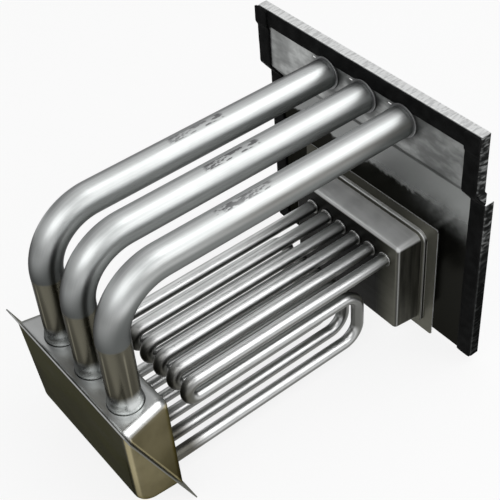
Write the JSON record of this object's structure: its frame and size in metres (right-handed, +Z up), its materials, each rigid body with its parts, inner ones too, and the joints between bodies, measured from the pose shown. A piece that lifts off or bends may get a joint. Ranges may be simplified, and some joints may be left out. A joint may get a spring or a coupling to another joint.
{
  "type": "furnace heat exchanger",
  "caption": "Gas furnace heat exchanger: bent firing tubes from a folded panel to a stamped coupling box, and serpentine small tubes back to a collector box.",
  "frame": {"origin": "centre of the middle firing tube on the tube side of the panel", "axes": "+Y along the firing tubes to the burner side, +X across the panel, +Z up"},
  "size_m": [0.436, 0.5496, 0.4313],
  "materials": {
    "panel_steel": "dull spangle",
    "foam": "matte foam",
    "tube_steel": "satin aluminised",
    "small_tube_steel": "bright drawn",
    "box_steel": "satin aluminised",
    "collector_steel": "dull aluminised"
  },
  "bodies": {
    "root": {"vestibule_panel": "panel_steel", "gasket_top": "foam", "gasket_left": "foam", "gasket_right": "foam", "firing_tube_1": "tube_steel", "firing_tube_2": "tube_steel", "firing_tube_3": "tube_steel", "small_tube_1": "small_tube_steel", "small_tube_2": "small_tube_steel", "small_tube_3": "small_tube_steel", "small_tube_4": "small_tube_steel", "small_tube_5": "small_tube_steel", "small_tube_6": "small_tube_steel", "coupling_box_rear": "box_steel", "coupling_box_front": "box_steel", "collector_pan": "collector_steel", "collector_back_plate": "collector_steel"}
  },
  "joints": []
}
